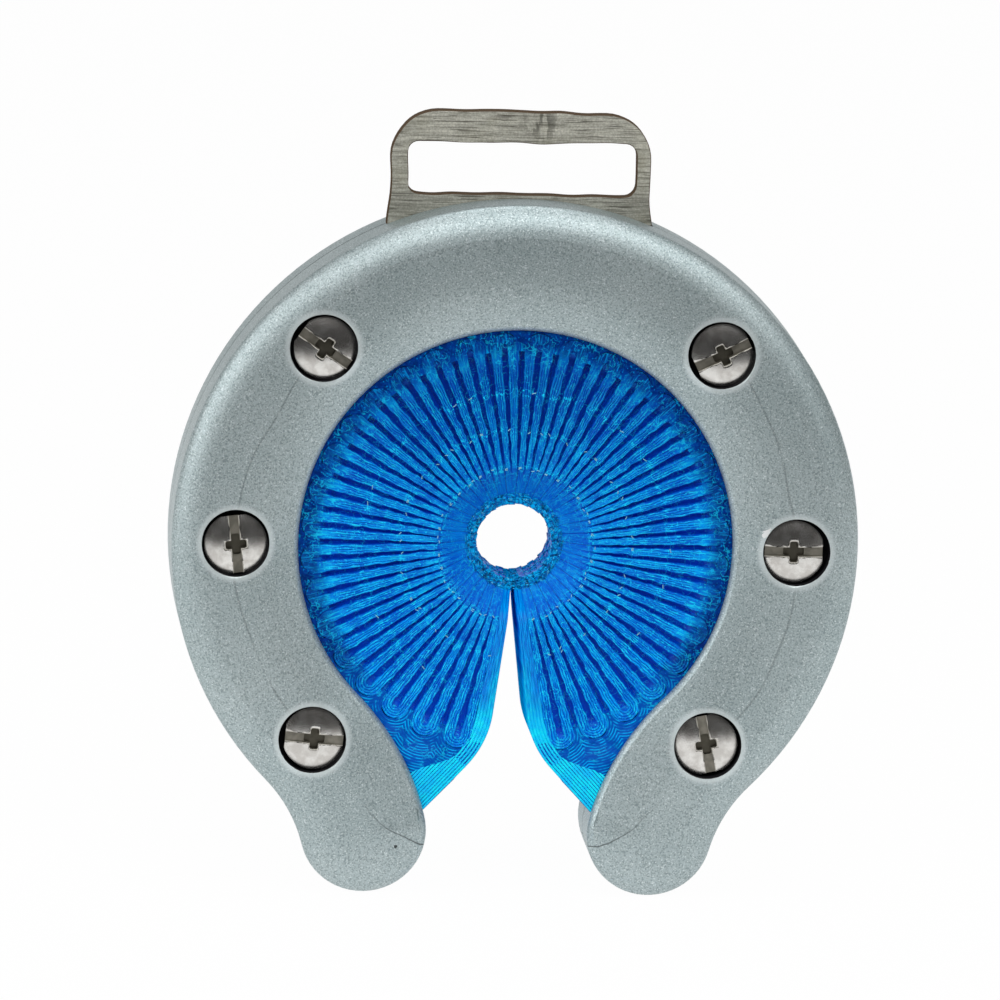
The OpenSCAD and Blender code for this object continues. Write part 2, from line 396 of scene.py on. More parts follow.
def mixed(tree, share, first, second):
    """Colour between two colours by a share from 0 to 1."""
    return node(tree, "Mix", {0: share, 6: first, 7: second}, data_type="RGBA").outputs[2]


def math_node(tree, operation, a, b=0.0):
    """Result of a sum on two values or sockets."""
    return node(tree, "Math", {0: a, 1: b}, operation=operation).outputs[0]


def times(tree, a, b):
    """Product of two values or sockets."""
    return math_node(tree, "MULTIPLY", a, b)


def tinted(tree, mask, share, colour, tint):
    """Colour with a share of a tint where the mask is 1."""
    return mixed(tree, times(tree, mask, share), colour, tint)


def axes(tree):
    """The piece's own coordinates, one socket for each axis."""
    return node(tree, "SeparateXYZ", {"Vector": node(tree, "TexCoord").outputs["Object"]}).outputs


def distance_to(tree, spot, origin=(0, 0, 0)):
    """Distance of a spot from an origin."""
    return node(tree, "VectorMath", {0: spot, 1: origin}, operation="DISTANCE").outputs["Value"]


def in_plan(tree, a, b):
    """Vector of two values, with 0 for the third."""
    return node(tree, "CombineXYZ", {"X": a, "Y": b}).outputs["Vector"]


def relief(tree, shader, height, strength, distance):
    """Gives the shader a fine relief from a height."""
    bump = node(tree, "Bump", {"Height": height, "Strength": strength, "Distance": distance})
    tree.links.new(bump.outputs["Normal"], shader.inputs["Normal"])


def ramp(tree, value, low, high):
    """Value stretched so that low gives 0 and high gives 1, with soft ends."""
    limits = {"Value": value, "From Min": low, "From Max": high}
    return node(tree, "MapRange", limits, interpolation_type="SMOOTHSTEP").outputs["Result"]


def new_material(name, **sockets):
    """A material with a shader whose constant values are set on its own sockets."""
    material = bpy.data.materials.new(name)
    material.use_nodes = True
    shader = material.node_tree.nodes["Principled BSDF"]
    for socket, value in sockets.items():
        shader.inputs[socket.replace("_", " ")].default_value = value
    return material, material.node_tree, shader


def place_noise(tree, scale, detail=2.0, stretch=(1, 1, 1)):
    """Noise in the piece's own coordinates, scale in waves per metre."""
    at = node(tree, "TexCoord").outputs["Object"]
    moved = node(tree, "Mapping", {"Vector": at, "Scale": stretch}).outputs["Vector"]
    return node(tree, "TexNoise", {"Vector": moved, "Scale": scale, "Detail": detail}).outputs["Fac"]


def spots(tree, scale, detail, low, high, stretch=(1, 1, 1)):
    """Mask of spots: 0 where the noise is at the low value and 1 where it is at the high one."""
    return ramp(tree, place_noise(tree, scale, detail, stretch), low, high)


def unsteady(tree, scale, detail, reach):
    """Noise round 0, with a reach from its lowest to its highest value."""
    return times(tree, math_node(tree, "SUBTRACT", place_noise(tree, scale, detail), 0.5), reach)


shell_grey = (0.410, 0.490, 0.500, 1)
shell_light = (0.700, 0.770, 0.775, 1)
shell_dark = (0.140, 0.185, 0.192, 1)
mark_dark = (0.060, 0.070, 0.072, 1)
chip_white = (0.92, 0.94, 0.94, 1)
hole_shade_black = (0.010, 0.010, 0.012, 1)
shell_plastic, tree, shader = new_material("flecked grey plastic", Metallic=0.75, Roughness=0.46)
fleck = spots(tree, 4600, 1, 0.55, 0.74)
shade = spots(tree, 3900, 2, 0.56, 0.34)
cloud = spots(tree, 60, 3, 0.35, 0.7)
colour = tinted(tree, cloud, 0.2, shell_grey, shell_light)
colour = tinted(tree, shade, 0.55, colour, shell_dark)
colour = tinted(tree, fleck, 0.9, colour, shell_light)
at = axes(tree)
parting = ramp(tree, math_node(tree, "ABSOLUTE", at["Y"]), parting_bevel, 0.1 * mm)
colour = tinted(tree, parting, 0.75, colour, mark_dark)
side_way = math_node(tree, "ABSOLUTE", at["X"])
plan = in_plan(tree, side_way, at["Z"])
from_knit = math_node(tree, "SUBTRACT", distance_to(tree, plan, knit_center), knit_r)
from_knit = math_node(tree, "ADD", from_knit, unsteady(tree, 300, 2, 1.2 * mm))
knit = ramp(tree, math_node(tree, "ABSOLUTE", from_knit), knit_w, 0.04 * mm)
knit = times(tree, knit, ramp(tree, side_way, 24 * mm, 13 * mm))
knit = times(tree, knit, ramp(tree, at["Z"], -31 * mm, -38 * mm))
out = distance_to(tree, plan)
seam = math_node(tree, "ADD", math_node(tree, "SUBTRACT", out, bolt_r), unsteady(tree, 45, 1, 5 * mm))
seam = ramp(tree, math_node(tree, "ABSOLUTE", seam), seam_w, 0.06 * mm)
seam = times(tree, seam, ramp(tree, side_way, 24 * mm, 28 * mm))
seam = times(tree, seam, ramp(tree, at["Z"], -36 * mm, -30 * mm))
seam = times(tree, seam, spots(tree, 180, 2, 0.3, 0.5))
marks = math_node(tree, "MAXIMUM", knit, times(tree, seam, 0.45))
colour = tinted(tree, marks, 0.75, colour, mark_dark)
turned = math_node(tree, "PINGPONG", math_node(tree, "ARCTAN2", side_way, at["Z"]), math.radians(22.5))
hole_side = times(tree, out, math_node(tree, "SINE", turned))
hole_out = math_node(tree, "SUBTRACT", times(tree, out, math_node(tree, "COSINE", turned)), bolt_r)
from_hole = distance_to(tree, in_plan(tree, hole_side, hole_out))
# A pale ring round each counterbore: painted highlight on its rounded lip.
hole_lip_highlight = times(tree, ramp(tree, from_hole, hole_lip_highlight_r, head_hole_r + 0.3 * mm),
                 ramp(tree, side_way, 10 * mm, 12 * mm))
colour = tinted(tree, hole_lip_highlight, 0.75, colour, shell_light)
for place, size, tint in ((chip_place, chip_r, chip_white), (speck_place, speck_r, mark_dark)):
    away = distance_to(tree, node(tree, "TexCoord").outputs["Object"], place)
    away = math_node(tree, "ADD", away, unsteady(tree, 1600, 2, 2 * size))
    colour = mixed(tree, ramp(tree, away, size, 0.8 * size), colour, tint)
tree.links.new(colour, shader.inputs["Base Color"])
relief(tree, shader, place_noise(tree, 4200, 3), 0.16, 0.08 * mm)

# Walls and floors of the counterbores below the lip get a near-black material: painted shade in the holes.
hole_shade = new_material("painted shade in counterbores", Roughness=0.8, Base_Color=hole_shade_black, Specular_IOR_Level=0.1)[0]
screw_middles = [Vector((screw_center(place).x, 0, screw_center(place).z)) for place in SCREW_PLACES]
for piece, part in ((front_shell, "front_shell"), (rear_shell, "rear_shell")):
    piece.data.materials.append(shell_plastic)
    piece.data.materials.append(hole_shade)
    for face in piece.data.polygons:
        spot = Vector((face.center.x, 0, face.center.z))
        near = min((spot - middle).length for middle in screw_middles)
        if near < head_hole_r + 0.02 * mm and abs(face.center.y) < shell_t - head_hole_lip / 2:
            face.material_index = 1
    shade_smooth(piece, 40)
    apply_modifier(piece, "WEIGHTED_NORMAL", keep_sharp=True)
    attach(piece, "root")
    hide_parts(part)


# Hanger plate
# A strip of sheet steel, cut by hand with a slot for webbing and brushed along its width.
# Its foot is an arc that lies in the shells' recess, where the two upper barrel nuts pass through it.
plate_corner = 6.5 * mm
plate_shift = Vector((-0.5 * mm, 0, -0.35 * mm))
webbing_low = Vector((-16.1 * mm, 0, 49.9 * mm))
webbing_high = Vector((16.5 * mm, 0, 57.4 * mm))
webbing_corner = 1.5 * mm
cut_wobble = 0.34 * mm
cut_step = 0.8 * mm
cut_edge_bevel = 0.12 * mm
foot_flare = 0.4 * mm
flare_top = 50 * mm
flare_h = 4 * mm
smudge_place = (2.3 * mm, -plate_t / 2, 60 * mm)
hidden_step = 0.01 * mm
shown_r = bolt_r + half_w - 1.5 * mm


def round_upright_edges(piece, test, radius, segments):
    """Rounds the edges that run from front to back and pass the test."""
    edit_piece(piece)
    pick("edges", lambda e: abs((e.verts[0].co - e.verts[1].co).normalized().y) > 0.9 and test(e.verts[0].co))
    bpy.ops.mesh.bevel(offset=radius, segments=segments, affect="EDGES")
    close_piece()


plate = box_cutter("hanger_plate_steel", (-plate_half_w, -plate_t / 2, bolt_r - arc_half_w / 2),
                   (plate_half_w, plate_t / 2, plate_high.z - cut_wobble))
round_upright_edges(plate, lambda co: co.z > bolt_r, plate_corner, 12)
beyond = Vector((0, 5 * mm, 0))
webbing_slot = box_cutter("webbing_slot", webbing_low - beyond, webbing_high + beyond)
round_upright_edges(webbing_slot, lambda co: True, webbing_corner, 5)
cut_away(plate, webbing_slot)
arc = body_strip("plate_arc", -arc_half_w, arc_half_w, hidden_step - plate_t / 2,
                 plate_t - 2 * hidden_step, arc_turn)
apply_modifier(plate, "BOOLEAN", operation="UNION", solver="EXACT", object=arc)
bpy.data.objects.remove(arc)
edit_piece(plate)
for i in range(1, int(2 * plate_half_w / cut_step)):
    pick_all()
    bpy.ops.mesh.bisect(plane_co=(-plate_half_w + i * cut_step, 0, 0), plane_no=(1, 0, 0))
for i in range(1, int((plate_high.z - bolt_r) / cut_step)):
    pick_all()
    bpy.ops.mesh.bisect(plane_co=(0, 0, bolt_r + i * cut_step), plane_no=(0, 0, 1))
close_piece()
for v in plate.data.vertices:
    spot = Vector((v.co.x, 0, v.co.z)) / (5 * mm)
    free = min(1, max(0, (v.co.length - bolt_r - half_w) / (2 * mm)))
    v.co.x += free * cut_wobble * 0.6 * noise.noise(spot + Vector((7, 0, 0)))
    v.co.z += free * cut_wobble * noise.noise(spot)
    if abs(v.co.x) > plate_half_w - 1 * mm and v.co.z > bolt_r:
        v.co.x += math.copysign(foot_flare, v.co.x) * min(1, max(0, flare_top - v.co.z) / flare_h) ** 2
    v.co += plate_shift
edit_piece(plate)
pick("edges", lambda e: e.calc_face_angle(0) > 1 and all(v.co.length > shown_r for v in e.verts))
bpy.ops.mesh.bevel(offset=cut_edge_bevel, segments=1, affect="EDGES")
close_piece()

steel_grey = (0.360, 0.358, 0.305, 1)
steel_light = (0.620, 0.612, 0.530, 1)
steel_bright = (0.70, 0.69, 0.62, 1)
steel_dark = (0.085, 0.080, 0.062, 1)
smudge_dark = (0.05, 0.05, 0.04, 1)
stain_brown = (0.250, 0.235, 0.150, 1)
cut_brown = (0.105, 0.074, 0.050, 1)
plate_steel, tree, shader = new_material("brushed steel", Roughness=0.5)
streak = place_noise(tree, 3000, 3, (0.05, 1, 1))
scratch = spots(tree, 6000, 2, 0.57, 0.61, (0.03, 1, 1))
bright = spots(tree, 7000, 2, 0.58, 0.66, (0.02, 1, 1))
stain = spots(tree, 160, 3, 0.50, 0.72)
speckle = spots(tree, 4500, 2, 0.40, 0.64)
colour = mixed(tree, ramp(tree, streak, 0.35, 0.65), steel_grey, steel_light)
colour = tinted(tree, scratch, 0.85, colour, steel_dark)
colour = tinted(tree, bright, 0.5, colour, steel_bright)
speckle = times(tree, math_node(tree, "SUBTRACT", 1.0, speckle), 0.3)
colour = mixed(tree, speckle, colour, steel_dark)
from_smudge = distance_to(tree, node(tree, "TexCoord").outputs["Object"], smudge_place)
smudge = times(tree, ramp(tree, from_smudge, 4 * mm, 0.5 * mm),
               spots(tree, 1500, 3, 0.44, 0.6, (1, 1, 0.25)))
colour = tinted(tree, smudge, 0.7, colour, smudge_dark)
colour = tinted(tree, stain, 0.3, colour, stain_brown)
# Darker towards the foot, where the plate goes into the shells: painted shade.
foot = ramp(tree, axes(tree)["Z"], 53 * mm, 47 * mm)
colour = tinted(tree, foot, 0.35, colour, steel_dark)
facing = node(tree, "SeparateXYZ", {"Vector": node(tree, "TexCoord").outputs["Normal"]}).outputs["Y"]
cut_face = ramp(tree, math_node(tree, "ABSOLUTE", facing), 0.97, 0.75)
colour = mixed(tree, cut_face, colour, cut_brown)
tree.links.new(colour, shader.inputs["Base Color"])
metal = node(tree, "MapRange", {"Value": cut_face, "To Min": 0.25, "To Max": 0.0}).outputs["Result"]
tree.links.new(metal, shader.inputs["Metallic"])
tree.links.new(metal, shader.inputs["Specular IOR Level"])
relief(tree, shader, streak, 0.25, 0.1 * mm)
plate.data.materials.append(plate_steel)
shade_smooth(plate, 30)
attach(plate, "root")
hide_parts("hanger_plate")


# Petals
# Each petal is a printed hairpin: two bars of four strands that run from the rope hole to a round root
# and back, with a slit between them and a core under it. It bends at its root.
insert_half_t = 6.5 * mm
hole_r = 5.4 * mm
root_r = 28.6 * mm
petal_pitch = math.radians(10)
root_half_w = 2.02 * mm
tip_half_w = 0.42 * mm
slit_start = 9.2 * mm
slit_root_half_w = 0.49 * mm
slit_tip_half_w = 0.10 * mm
ring_r = 6.9 * mm
funnel_r = 11.0 * mm
throat_half_t = 3.5 * mm
strands = 4
strand_depth = 0.16 * mm
groove_depth = 1.1 * mm
groove_start = 9.5 * mm
groove_full = 15 * mm
core_gap = 0.015 * mm
core_narrow_r = 27.8 * mm
gap_end = 28.3 * mm
gap_side = 1.4 * mm
clear_slit_end = 29.1 * mm
matted_slit_end = 28.5 * mm
slit_rise = 1.6 * mm
ragged_w = 0.22 * mm
ragged_start = 9 * mm
ragged_full = 15 * mm
matted_start = 25 * mm
matted_full = 27.5 * mm
string_r = 0.06 * mm
ring_level = 0.7 * mm
ring_step = 0.16 * mm
petal_kinds = 5
BAR_STATIONS = [5.4, 5.8, 6.3, 6.9, 7.8, 8.6, 9.2] + [10 + 0.6 * i for i in range(31)]
CORE_STATIONS = [6.4, 6.9, 8.0, 9.2, 10.2, 11.0, 12.5, 14.0, 16.0, 19.0, 22.0, 24.5, 25.6, 26.0, 26.4,
                 26.7, 27.0, 27.4, 27.8, 28.2, 28.6, 29.0, 29.4]
STRING_RINGS = [(11.0, 0.8, 0.2), (11.1, 0.7, 0.2), (16.5, 0.7, 0.22), (16.6, 0.5, 0.22), (22.0, 0.4, 0.3)]
root_steps = 14
steps_across = 4 * strands


def smooth_share(value, low, high):
    """Share from 0 to 1 of a value between two limits, with soft ends."""
    share = min(1, max(0, (value - low) / (high - low)))
    return share * share * (3 - 2 * share)


def petal_edges(along):
    """Half widths of the slit and of the whole petal at a distance from the rope axis."""
    share = (along - slit_start) / (root_r - slit_start)
    slit = slit_tip_half_w + (slit_root_half_w - slit_tip_half_w) * share
    whole = tip_half_w + (root_half_w - tip_half_w) * (along - hole_r) / (root_r - hole_r)
    return slit if along >= slit_start - 1e-7 else 0.0, whole


def petal_half_t(along):
    """Half the petal's thickness: thin in the ring at the rope hole, then a funnel up to full thickness."""
    share = min(1, max(0, (along - ring_r) / (funnel_r - ring_r)))
    return throat_half_t + (insert_half_t - throat_half_t) * share


def strand_height(along, across):
    """Height of the printed strands under the petal's face, at a place in the petal's own plan."""
    if along > root_r:
        share = (math.hypot(along - root_r, across) - slit_root_half_w) / (root_half_w - slit_root_half_w)
    else:
        slit, whole = petal_edges(along)
        share = (abs(across) - slit) / (whole - slit)
    depth = strand_depth * min(1, max(0.35, (along - hole_r) / (root_r - hole_r) * 1.3))
    return -depth * (1 - abs(math.sin(math.pi * strands * min(1, max(0, share)))) ** 0.8)


def hairpin_point(step, share):
    """Place in plan for a step along the hairpin and a share across its bar, from slit to edge."""
    bars = len(BAR_STATIONS)
    if bars <= step <= bars + root_steps:
        turn = math.pi * (step - bars) / root_steps
        radius = slit_root_half_w + (root_half_w - slit_root_half_w) * share
        return root_r + radius * math.sin(turn), -radius * math.cos(turn)
    first = step < bars
    along = BAR_STATIONS[step if first else 2 * bars + root_steps - step] * mm
    slit, whole = petal_edges(along)
    across = slit + (whole - slit) * share
    return along, -across if first else across


def grid_sheet(name, steps, rows, where):
    """A flat sheet of points, each put where the function says for its step and its share across."""
    bpy.ops.mesh.primitive_grid_add(x_subdivisions=steps, y_subdivisions=rows, size=2)
    sheet = name_piece(name)
    for v in sheet.data.vertices:
        along, across = where(round((v.co.x + 1) / 2 * steps), (v.co.y + 1) / 2)
        v.co = (along, 0, across)
    return sheet


def core_point(step, share):
    """Place in plan of a point of the petal's core, which closes the slit and the gaps under the bars."""
    along = CORE_STATIONS[step] * mm
    pitch_half = along * math.sin(petal_pitch / 2) - core_gap
    whole = petal_edges(along)[1] if along <= root_r else root_half_w - (along - root_r) / 2
    reach = whole + (pitch_half - whole) * (1 - smooth_share(along, core_narrow_r, root_r))
    return along, reach * (2 * share - 1)


def core_half_t(along, across, slit_end):
    """Half thickness of the core: shallow slits near the ring that get deeper and end at the root."""
    end = slit_end if abs(across) < gap_side else gap_end
    risen = smooth_share(along, end - slit_rise, end)
    depth_shade = smooth_share(along, groove_start, groove_full) * (1 - 0.9 * risen)
    under = (0.05 + 0.07 * smooth_share(along, 9 * mm, 12 * mm)) * mm
    return petal_half_t(along) - under - groove_depth * depth_shade


def roughen(petal, kind):
    """Makes the strands waver sideways, so that the slits get ragged edges."""
    for v in petal.data.vertices:
        spot = Vector((v.co.x / (1.1 * mm), v.co.z / (0.6 * mm), 7.7 * kind))
        v.co.z += ragged_w * smooth_share(v.co.x, ragged_start, ragged_full) * noise.noise(spot)


def thicken(sheet, half_t):
    """Gives a flat sheet its thickness, with a height from its plan."""
    edit_piece(sheet)
    pick_all()
    bpy.ops.mesh.remove_doubles(threshold=weld_gap)
    extrude(1 * mm)
    close_piece()
    for v in sheet.data.vertices:
        v.co.y = half_t(v.co.x, v.co.z) * (1 if v.co.y > 0.5 * mm else -1)
    edit_piece(sheet)
    merge_points()
    close_piece()


def string_bit(start, end, radius):
    """A loose end of print: a thin rod between two points."""
    start, end = Vector(start), Vector(end)
    turn = (end - start).to_track_quat("Z", "Y").to_euler()
    bpy.ops.mesh.primitive_cylinder_add(vertices=5, radius=radius, depth=(end - start).length,
                                        location=(start + end) / 2, rotation=turn)
    bpy.ops.object.transform_apply(location=True, rotation=True, scale=True)
    return bpy.context.object


def petal_turn(side, i):
    """Turn that brings a petal drawn along X to its place on one side, counted up from the slot."""
    angle = petal_pitch * (i + 0.5)
    return Matrix.Rotation((math.pi / 2 - angle) if side == "right" else (math.pi / 2 + angle), 4, "Y")


def polar_group():
    """Node group that gives the distance from the rope axis and the angle round it from straight down."""
    group = bpy.data.node_groups.new("place round the rope", "ShaderNodeTree")
    group.interface.new_socket("Radius", in_out="OUTPUT", socket_type="NodeSocketFloat")
    group.interface.new_socket("Angle", in_out="OUTPUT", socket_type="NodeSocketFloat")
    at = axes(group)
    radius = distance_to(group, in_plan(group, at["X"], at["Z"]))
    angle = math_node(group, "ARCTAN2", at["X"], times(group, at["Z"], -1.0))
    ends = group.nodes.new("NodeGroupOutput")
    group.links.new(radius, ends.inputs["Radius"])
    group.links.new(angle, ends.inputs["Angle"])
    return group


def round_place(tree):
    """The distance from the rope axis and the angle round it, as sockets."""
    return node(tree, "Group", node_tree=round_the_rope).outputs


def polar_noise(tree, across, along, detail=2.0, shift=0.0):
    """Noise in streaks that run towards the rope axis, with a size across and along them."""
    place = round_place(tree)
    turned = times(tree, place["Angle"], 20 * mm / across)
    out = times(tree, place["Radius"], 1 / along)
    at = node(tree, "CombineXYZ", {"X": turned, "Y": out, "Z": shift}).outputs["Vector"]
    return node(tree, "TexNoise", {"Vector": at, "Scale": 1.0, "Detail": detail}).outputs["Fac"]


def tangle_group():
    """Node group for the loose print: curly threads, dense in rings round the hole, and the rough rim."""
    group = bpy.data.node_groups.new("loose threads", "ShaderNodeTree")
    group.interface.new_socket("Threads", in_out="OUTPUT", socket_type="NodeSocketFloat")
    group.interface.new_socket("Rim", in_out="OUTPUT", socket_type="NodeSocketFloat")
    group.interface.new_socket("Rim Colour", in_out="OUTPUT", socket_type="NodeSocketColor")
    place = round_place(group)
    curl = math_node(group, "ABSOLUTE", math_node(group, "SUBTRACT", place_noise(group, 900, 2), 0.5))
    curl = ramp(group, curl, 0.030, 0.008)
    near = ramp(group, math_node(group, "PINGPONG", place["Radius"], thread_ring_gap / 2), 1.0 * mm, 0.2 * mm)
    near = times(group, near, ramp(group, place["Radius"], 25 * mm, 23.5 * mm))
    patch = spots(group, 420, 2, 0.42, 0.62)
    dense = math_node(group, "MAXIMUM", times(group, near, 0.9), times(group, patch, 0.45))
    low = axes(group)["Z"]
    edge = math_node(group, "ADD", place["Radius"], times(group, place_noise(group, 500, 2), 2.5 * mm))
    rim = times(group, ramp(group, edge, rim_start, rim_full), ramp(group, low, -24 * mm, -15 * mm))
    mottle = spots(group, 1600, 3, 0.36, 0.66)
    colour = mixed(group, mottle, rim_dark, rim_light)
    fleck = spots(group, 2600, 2, 0.60, 0.69)
    colour = tinted(group, fleck, 0.6, colour, rim_shine)
    ends = group.nodes.new("NodeGroupOutput")
    group.links.new(times(group, curl, dense), ends.inputs["Threads"])
    group.links.new(rim, ends.inputs["Rim"])
    group.links.new(colour, ends.inputs["Rim Colour"])
    return group


thread_ring_gap = 5.5 * mm
rim_start = 28.0 * mm
rim_full = 31.0 * mm
bar_dark = (0.0, 0.175, 0.740, 1)
bar_light = (0.0, 0.380, 0.960, 1)
bar_shine = (0.01, 0.680, 0.980, 1)
bar_patch_and_groove_shade = (0.0, 0.095, 0.600, 1)
slit_shade_blue = (0.0, 0.095, 0.680, 1)
upper_shade_blue = (0.0, 0.012, 0.240, 1)
rim_dark = (0.0, 0.011, 0.120, 1)
rim_light = (0.0, 0.031, 0.240, 1)
rim_shine = (0.0, 0.320, 0.850, 1)
string_white = (0.25, 0.60, 0.72, 1)
round_the_rope = polar_group()
loose_threads = tangle_group()
bar_blue, tree, shader = new_material("translucent blue print", Roughness=0.35, Specular_IOR_Level=0.08)
height = axes(tree)
place = round_place(tree)
loose = node(tree, "Group", node_tree=loose_threads).outputs
face_y = node(tree, "MapRange", {"Value": place["Radius"], "From Min": ring_r, "From Max": funnel_r,
                                 "To Min": throat_half_t, "To Max": insert_half_t}).outputs["Result"]
below = math_node(tree, "SUBTRACT", face_y, math_node(tree, "ABSOLUTE", height["Y"]))
# Below the face the print is painted darker: painted shade in the grooves between strands and, broken up by a
# noise, down in the slits.
groove_shade = ramp(tree, below, 0.02 * mm, 0.13 * mm)
depth_shade = ramp(tree, below, 0.2 * mm, 0.8 * mm)
streak = ramp(tree, polar_noise(tree, 0.35 * mm, 6 * mm), 0.3, 0.7)
shine = ramp(tree, polar_noise(tree, 0.13 * mm, 1.6 * mm, 2, 7.3), 0.52, 0.68)
speck = spots(tree, 2800, 2, 0.59, 0.65)
colour = mixed(tree, streak, bar_dark, bar_light)
# Random darker patches share the colour of the painted groove shade.
patchy = spots(tree, 330, 3, 0.38, 0.66)
colour = tinted(tree, patchy, 0.65, colour, bar_patch_and_groove_shade)
colour = tinted(tree, shine, 0.85, colour, bar_shine)
colour = tinted(tree, groove_shade, 0.8, colour, bar_patch_and_groove_shade)
colour = tinted(tree, speck, 0.75, colour, bar_shine)
# Darker in the funnel round the rope hole: painted shade.
funnel = ramp(tree, place["Radius"], funnel_r + 0.3 * mm, funnel_r - 0.8 * mm)
colour = tinted(tree, funnel, 0.45, colour, slit_shade_blue)
bridged = spots(tree, 700, 3, 0.62, 0.50)
colour = mixed(tree, times(tree, depth_shade, ramp(tree, bridged, -0.8, 1.0)), colour, slit_shade_blue)
# The petals get darker towards the top: painted shade.
upper = ramp(tree, height["Z"], 0.0, 30 * mm)
colour = tinted(tree, upper, 0.55, colour, upper_shade_blue)
colour = tinted(tree, loose["Rim"], 0.85, colour, loose["Rim Colour"])
rim_streak = times(tree, times(tree, shine, loose["Rim"]), 0.5)
colour = mixed(tree, rim_streak, colour, rim_shine)
colour = mixed(tree, loose["Threads"], colour, bar_shine)
tree.links.new(colour, shader.inputs["Base Color"])
relief(tree, shader, polar_noise(tree, 0.2 * mm, 1.5 * mm, 3, 2.1), 0.5, 0.12 * mm)
string_print = new_material("loose print", Roughness=0.4, Base_Color=string_white)[0]


def matted_colour(tree):
    """Colour of the matted print in the ring: teal and blue, with pale spots that are painted highlights and
    nearly black spots that are painted shadows between the threads.
    """
    matted = mixed(tree, spots(tree, 2600, 2, 0.36, 0.66), ring_dark, ring_light)
    pale = spots(tree, 1900, 2, 0.60, 0.70)
    matted = tinted(tree, pale, 0.6, matted, ring_highlight_pale)
    black = spots(tree, 1500, 3, 0.44, 0.34)
    return tinted(tree, black, 0.75, matted, ring_shadow_black)


ring_dark = (0.0, 0.110, 0.400, 1)
ring_light = (0.0, 0.480, 0.920, 1)
ring_highlight_pale = (0.20, 0.720, 0.900, 1)
ring_shadow_black = (0.0, 0.020, 0.090, 1)
ring_print, tree, shader = new_material("matted print", Roughness=0.4, Specular_IOR_Level=0.1)
tree.links.new(matted_colour(tree), shader.inputs["Base Color"])


def ring_bits(chance):
    """One petal's share of the matted threads round the rope hole, drawn along X."""
    bits = []
    for out, y in ([(hole_r, ring_level * level) for level in range(-5, 6)]
                   + [(hole_r + ring_step * i, face * throat_half_t) for i in range(10) for face in (-1, 1)]):
        half = 0.98 * out * math.sin(petal_pitch / 2)
        near, far = (out + chance.uniform(-0.1, 0.3) * mm for end in range(2))
        lift = chance.uniform(-0.3, 0.3) * mm
        thick = chance.uniform(0.07, 0.15) * mm
        bits.append(string_bit((near, y + lift, -half), (far, y - lift, half), thick))
        bits[-1].data.materials.append(ring_print)
    return bits


model_petals = []
for kind in range(2 * petal_kinds):
    chance = random.Random(kind + 11)
    matted = kind >= petal_kinds
    slit_end = matted_slit_end if matted else clear_slit_end
    petal = grid_sheet("petal_model", 2 * len(BAR_STATIONS) + root_steps, steps_across, hairpin_point)
    clear = lambda along: 1 - smooth_share(along, matted_start, matted_full) if matted else 1
    thicken(petal, lambda along, across: petal_half_t(along) + strand_height(along, across) * clear(along))
    roughen(petal, kind)
    core = grid_sheet("core_model", len(CORE_STATIONS) - 1, 4, core_point)
    thicken(core, lambda along, across: core_half_t(along, across, slit_end))
    for piece in (petal, core):
        piece.data.materials.append(bar_blue)
    strings = []
    for radius, chance_of, reach in STRING_RINGS:
        for face in (-1, 1):
            if chance.random() > chance_of:
                continue
            middle = radius + chance.uniform(-0.3, 0.3)
            across = chance.choice((0.0, petal_edges(middle * mm)[1] - 0.1 * mm))
            lean = chance.uniform(-0.9, 0.9)
            along_reach, across_reach = reach * math.sin(lean), reach * math.cos(lean)
            y = face * (petal_half_t(middle * mm) + 0.01 * mm)
            start = ((middle - along_reach) * mm, y, across - across_reach * mm)
            end = ((middle + along_reach) * mm, y, across + across_reach * mm)
            strings.append(string_bit(start, end, string_r))
    for bit in strings:
        bit.data.materials.append(string_print)
    join_pieces(petal, [core] + strings + ring_bits(chance))
    model_petals.append(petal)


# Slot lips
# The five strands at each edge of the rope slot run down from the ring and bend outwards into the corners.
# Each lip is one print with its side's lowest petal, so all petals are put in their places here.
slot_tip = Vector((0.06 * mm, 0, -hole_r))
slot_corner = Vector((2.97 * mm, 0, -29.05 * mm))
flare_corner = Vector((12.01 * mm, 0, -38.75 * mm))
lip_bend_r = 14 * mm
lip_tip_w = 0.9 * mm
lip_root_w = 2.3 * mm
lip_steps = 44
lip_rows = 20
petals_per_side = 17
first_matted = 6
slot_angle = math.atan2(slot_corner.x - slot_tip.x, slot_tip.z - slot_corner.z)
flare_angle = math.atan2(flare_corner.x - slot_corner.x, slot_corner.z - flare_corner.z)
bend_reach = lip_bend_r * math.tan((flare_angle - slot_angle) / 2)
lip_straight = (slot_corner - slot_tip).length - bend_reach
lip_bend = lip_bend_r * (flare_angle - slot_angle)


def lip_normal(angle):
    """Direction into the insert, square to an edge that runs at an angle from straight down."""
    return Vector((math.cos(angle), 0, math.sin(angle)))


def lip_place(run, inset):
    """Point at a run along the right edge of the slot and an inset from it."""
    if run < lip_straight:
        return slot_tip + from_down(slot_angle, run) + lip_normal(slot_angle) * inset
    bend_start = slot_tip + from_down(slot_angle, lip_straight)
    middle = bend_start + lip_normal(slot_angle) * lip_bend_r
    angle = min(flare_angle, slot_angle + (run - lip_straight) / lip_bend_r)
    bent = middle - lip_normal(angle) * (lip_bend_r - inset)
    return bent + from_down(flare_angle, max(0, run - lip_straight - lip_bend))


def lip_point(step, share):
    """Place in plan of a point of the lip."""
    run = (lip_straight + lip_bend) * step / lip_steps
    width = lip_tip_w + (lip_root_w - lip_tip_w) * min(1, run / lip_straight)
    place = lip_place(run, width * share)
    return place.x, place.z


